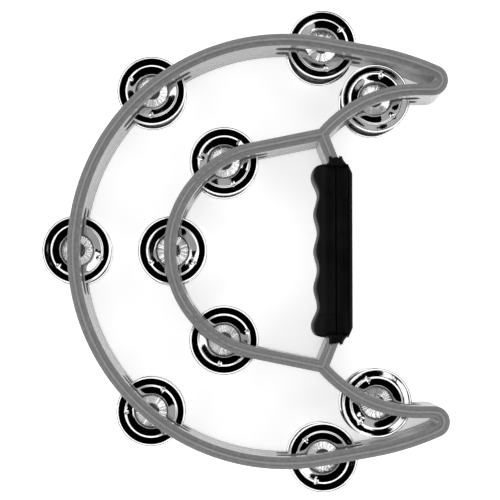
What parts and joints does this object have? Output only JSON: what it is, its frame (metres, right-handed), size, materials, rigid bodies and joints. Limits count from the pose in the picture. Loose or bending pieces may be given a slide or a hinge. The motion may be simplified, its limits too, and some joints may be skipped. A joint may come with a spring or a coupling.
{
  "type": "tambourine",
  "caption": "Crescent-shaped hand tambourine: two-rim plastic frame, finger grip and paired metal jingles sliding on pins in slots.",
  "frame": {"origin": "middle of the footprint of the whole tambourine, on the flat back face of the frame", "axes": "+Z out of the front face, +Y along the grip, +X out of the open side between the tips"},
  "size_m": [0.2546, 0.3018, 0.045],
  "materials": {
    "frame_plastic": "satin moulded",
    "grip_rubber": "semi-matte",
    "jingle_metal": "polished nickel plate",
    "pin_steel": "drawn wire"
  },
  "bodies": {
    "tambourine_frame": {"frame": "frame_plastic", "finger_grip": "grip_rubber", "palm_grip": "grip_rubber", "pin_outer_1": "pin_steel", "pin_outer_2": "pin_steel", "pin_outer_3": "pin_steel", "pin_outer_4": "pin_steel", "pin_outer_5": "pin_steel", "pin_inner_1": "pin_steel", "pin_inner_2": "pin_steel", "pin_inner_3": "pin_steel", "pin_inner_4": "pin_steel", "pin_inner_5": "pin_steel"},
    "front_jingle_outer_1_body": {"front_jingle_outer_1": "jingle_metal"},
    "rear_jingle_outer_1_body": {"rear_jingle_outer_1": "jingle_metal"},
    "front_jingle_outer_2_body": {"front_jingle_outer_2": "jingle_metal"},
    "rear_jingle_outer_2_body": {"rear_jingle_outer_2": "jingle_metal"},
    "front_jingle_outer_3_body": {"front_jingle_outer_3": "jingle_metal"},
    "rear_jingle_outer_3_body": {"rear_jingle_outer_3": "jingle_metal"},
    "front_jingle_outer_4_body": {"front_jingle_outer_4": "jingle_metal"},
    "rear_jingle_outer_4_body": {"rear_jingle_outer_4": "jingle_metal"},
    "front_jingle_outer_5_body": {"front_jingle_outer_5": "jingle_metal"},
    "rear_jingle_outer_5_body": {"rear_jingle_outer_5": "jingle_metal"},
    "front_jingle_inner_1_body": {"front_jingle_inner_1": "jingle_metal"},
    "rear_jingle_inner_1_body": {"rear_jingle_inner_1": "jingle_metal"},
    "front_jingle_inner_2_body": {"front_jingle_inner_2": "jingle_metal"},
    "rear_jingle_inner_2_body": {"rear_jingle_inner_2": "jingle_metal"},
    "front_jingle_inner_3_body": {"front_jingle_inner_3": "jingle_metal"},
    "rear_jingle_inner_3_body": {"rear_jingle_inner_3": "jingle_metal"},
    "front_jingle_inner_4_body": {"front_jingle_inner_4": "jingle_metal"},
    "rear_jingle_inner_4_body": {"rear_jingle_inner_4": "jingle_metal"},
    "front_jingle_inner_5_body": {"front_jingle_inner_5": "jingle_metal"},
    "rear_jingle_inner_5_body": {"rear_jingle_inner_5": "jingle_metal"}
  },
  "joints": [
    {"name": "front_jingle_outer_1_slide", "type": "slide", "parent": "tambourine_frame", "child": "front_jingle_outer_1_body", "axis": [0, 0, 1], "range_m": [0, 0.0029]},
    {"name": "rear_jingle_outer_1_slide", "type": "slide", "parent": "tambourine_frame", "child": "rear_jingle_outer_1_body", "axis": [0, 0, 1], "range_m": [0, 0.0029]},
    {"name": "front_jingle_outer_2_slide", "type": "slide", "parent": "tambourine_frame", "child": "front_jingle_outer_2_body", "axis": [0, 0, 1], "range_m": [0, 0.0029]},
    {"name": "rear_jingle_outer_2_slide", "type": "slide", "parent": "tambourine_frame", "child": "rear_jingle_outer_2_body", "axis": [0, 0, 1], "range_m": [0, 0.0029]},
    {"name": "front_jingle_outer_3_slide", "type": "slide", "parent": "tambourine_frame", "child": "front_jingle_outer_3_body", "axis": [0, 0, 1], "range_m": [0, 0.0029]},
    {"name": "rear_jingle_outer_3_slide", "type": "slide", "parent": "tambourine_frame", "child": "rear_jingle_outer_3_body", "axis": [0, 0, 1], "range_m": [0, 0.0029]},
    {"name": "front_jingle_outer_4_slide", "type": "slide", "parent": "tambourine_frame", "child": "front_jingle_outer_4_body", "axis": [0, 0, 1], "range_m": [0, 0.0029]},
    {"name": "rear_jingle_outer_4_slide", "type": "slide", "parent": "tambourine_frame", "child": "rear_jingle_outer_4_body", "axis": [0, 0, 1], "range_m": [0, 0.0029]},
    {"name": "front_jingle_outer_5_slide", "type": "slide", "parent": "tambourine_frame", "child": "front_jingle_outer_5_body", "axis": [0, 0, 1], "range_m": [0, 0.0029]},
    {"name": "rear_jingle_outer_5_slide", "type": "slide", "parent": "tambourine_frame", "child": "rear_jingle_outer_5_body", "axis": [0, 0, 1], "range_m": [0, 0.0029]},
    {"name": "front_jingle_inner_1_slide", "type": "slide", "parent": "tambourine_frame", "child": "front_jingle_inner_1_body", "axis": [0, 0, 1], "range_m": [0, 0.0029]},
    {"name": "rear_jingle_inner_1_slide", "type": "slide", "parent": "tambourine_frame", "child": "rear_jingle_inner_1_body", "axis": [0, 0, 1], "range_m": [0, 0.0029]},
    {"name": "front_jingle_inner_2_slide", "type": "slide", "parent": "tambourine_frame", "child": "front_jingle_inner_2_body", "axis": [0, 0, 1], "range_m": [0, 0.0029]},
    {"name": "rear_jingle_inner_2_slide", "type": "slide", "parent": "tambourine_frame", "child": "rear_jingle_inner_2_body", "axis": [0, 0, 1], "range_m": [0, 0.0029]},
    {"name": "front_jingle_inner_3_slide", "type": "slide", "parent": "tambourine_frame", "child": "front_jingle_inner_3_body", "axis": [0, 0, 1], "range_m": [0, 0.0029]},
    {"name": "rear_jingle_inner_3_slide", "type": "slide", "parent": "tambourine_frame", "child": "rear_jingle_inner_3_body", "axis": [0, 0, 1], "range_m": [0, 0.0029]},
    {"name": "front_jingle_inner_4_slide", "type": "slide", "parent": "tambourine_frame", "child": "front_jingle_inner_4_body", "axis": [0, 0, 1], "range_m": [0, 0.0029]},
    {"name": "rear_jingle_inner_4_slide", "type": "slide", "parent": "tambourine_frame", "child": "rear_jingle_inner_4_body", "axis": [0, 0, 1], "range_m": [0, 0.0029]},
    {"name": "front_jingle_inner_5_slide", "type": "slide", "parent": "tambourine_frame", "child": "front_jingle_inner_5_body", "axis": [0, 0, 1], "range_m": [0, 0.0029]},
    {"name": "rear_jingle_inner_5_slide", "type": "slide", "parent": "tambourine_frame", "child": "rear_jingle_inner_5_body", "axis": [0, 0, 1], "range_m": [0, 0.0029]}
  ]
}
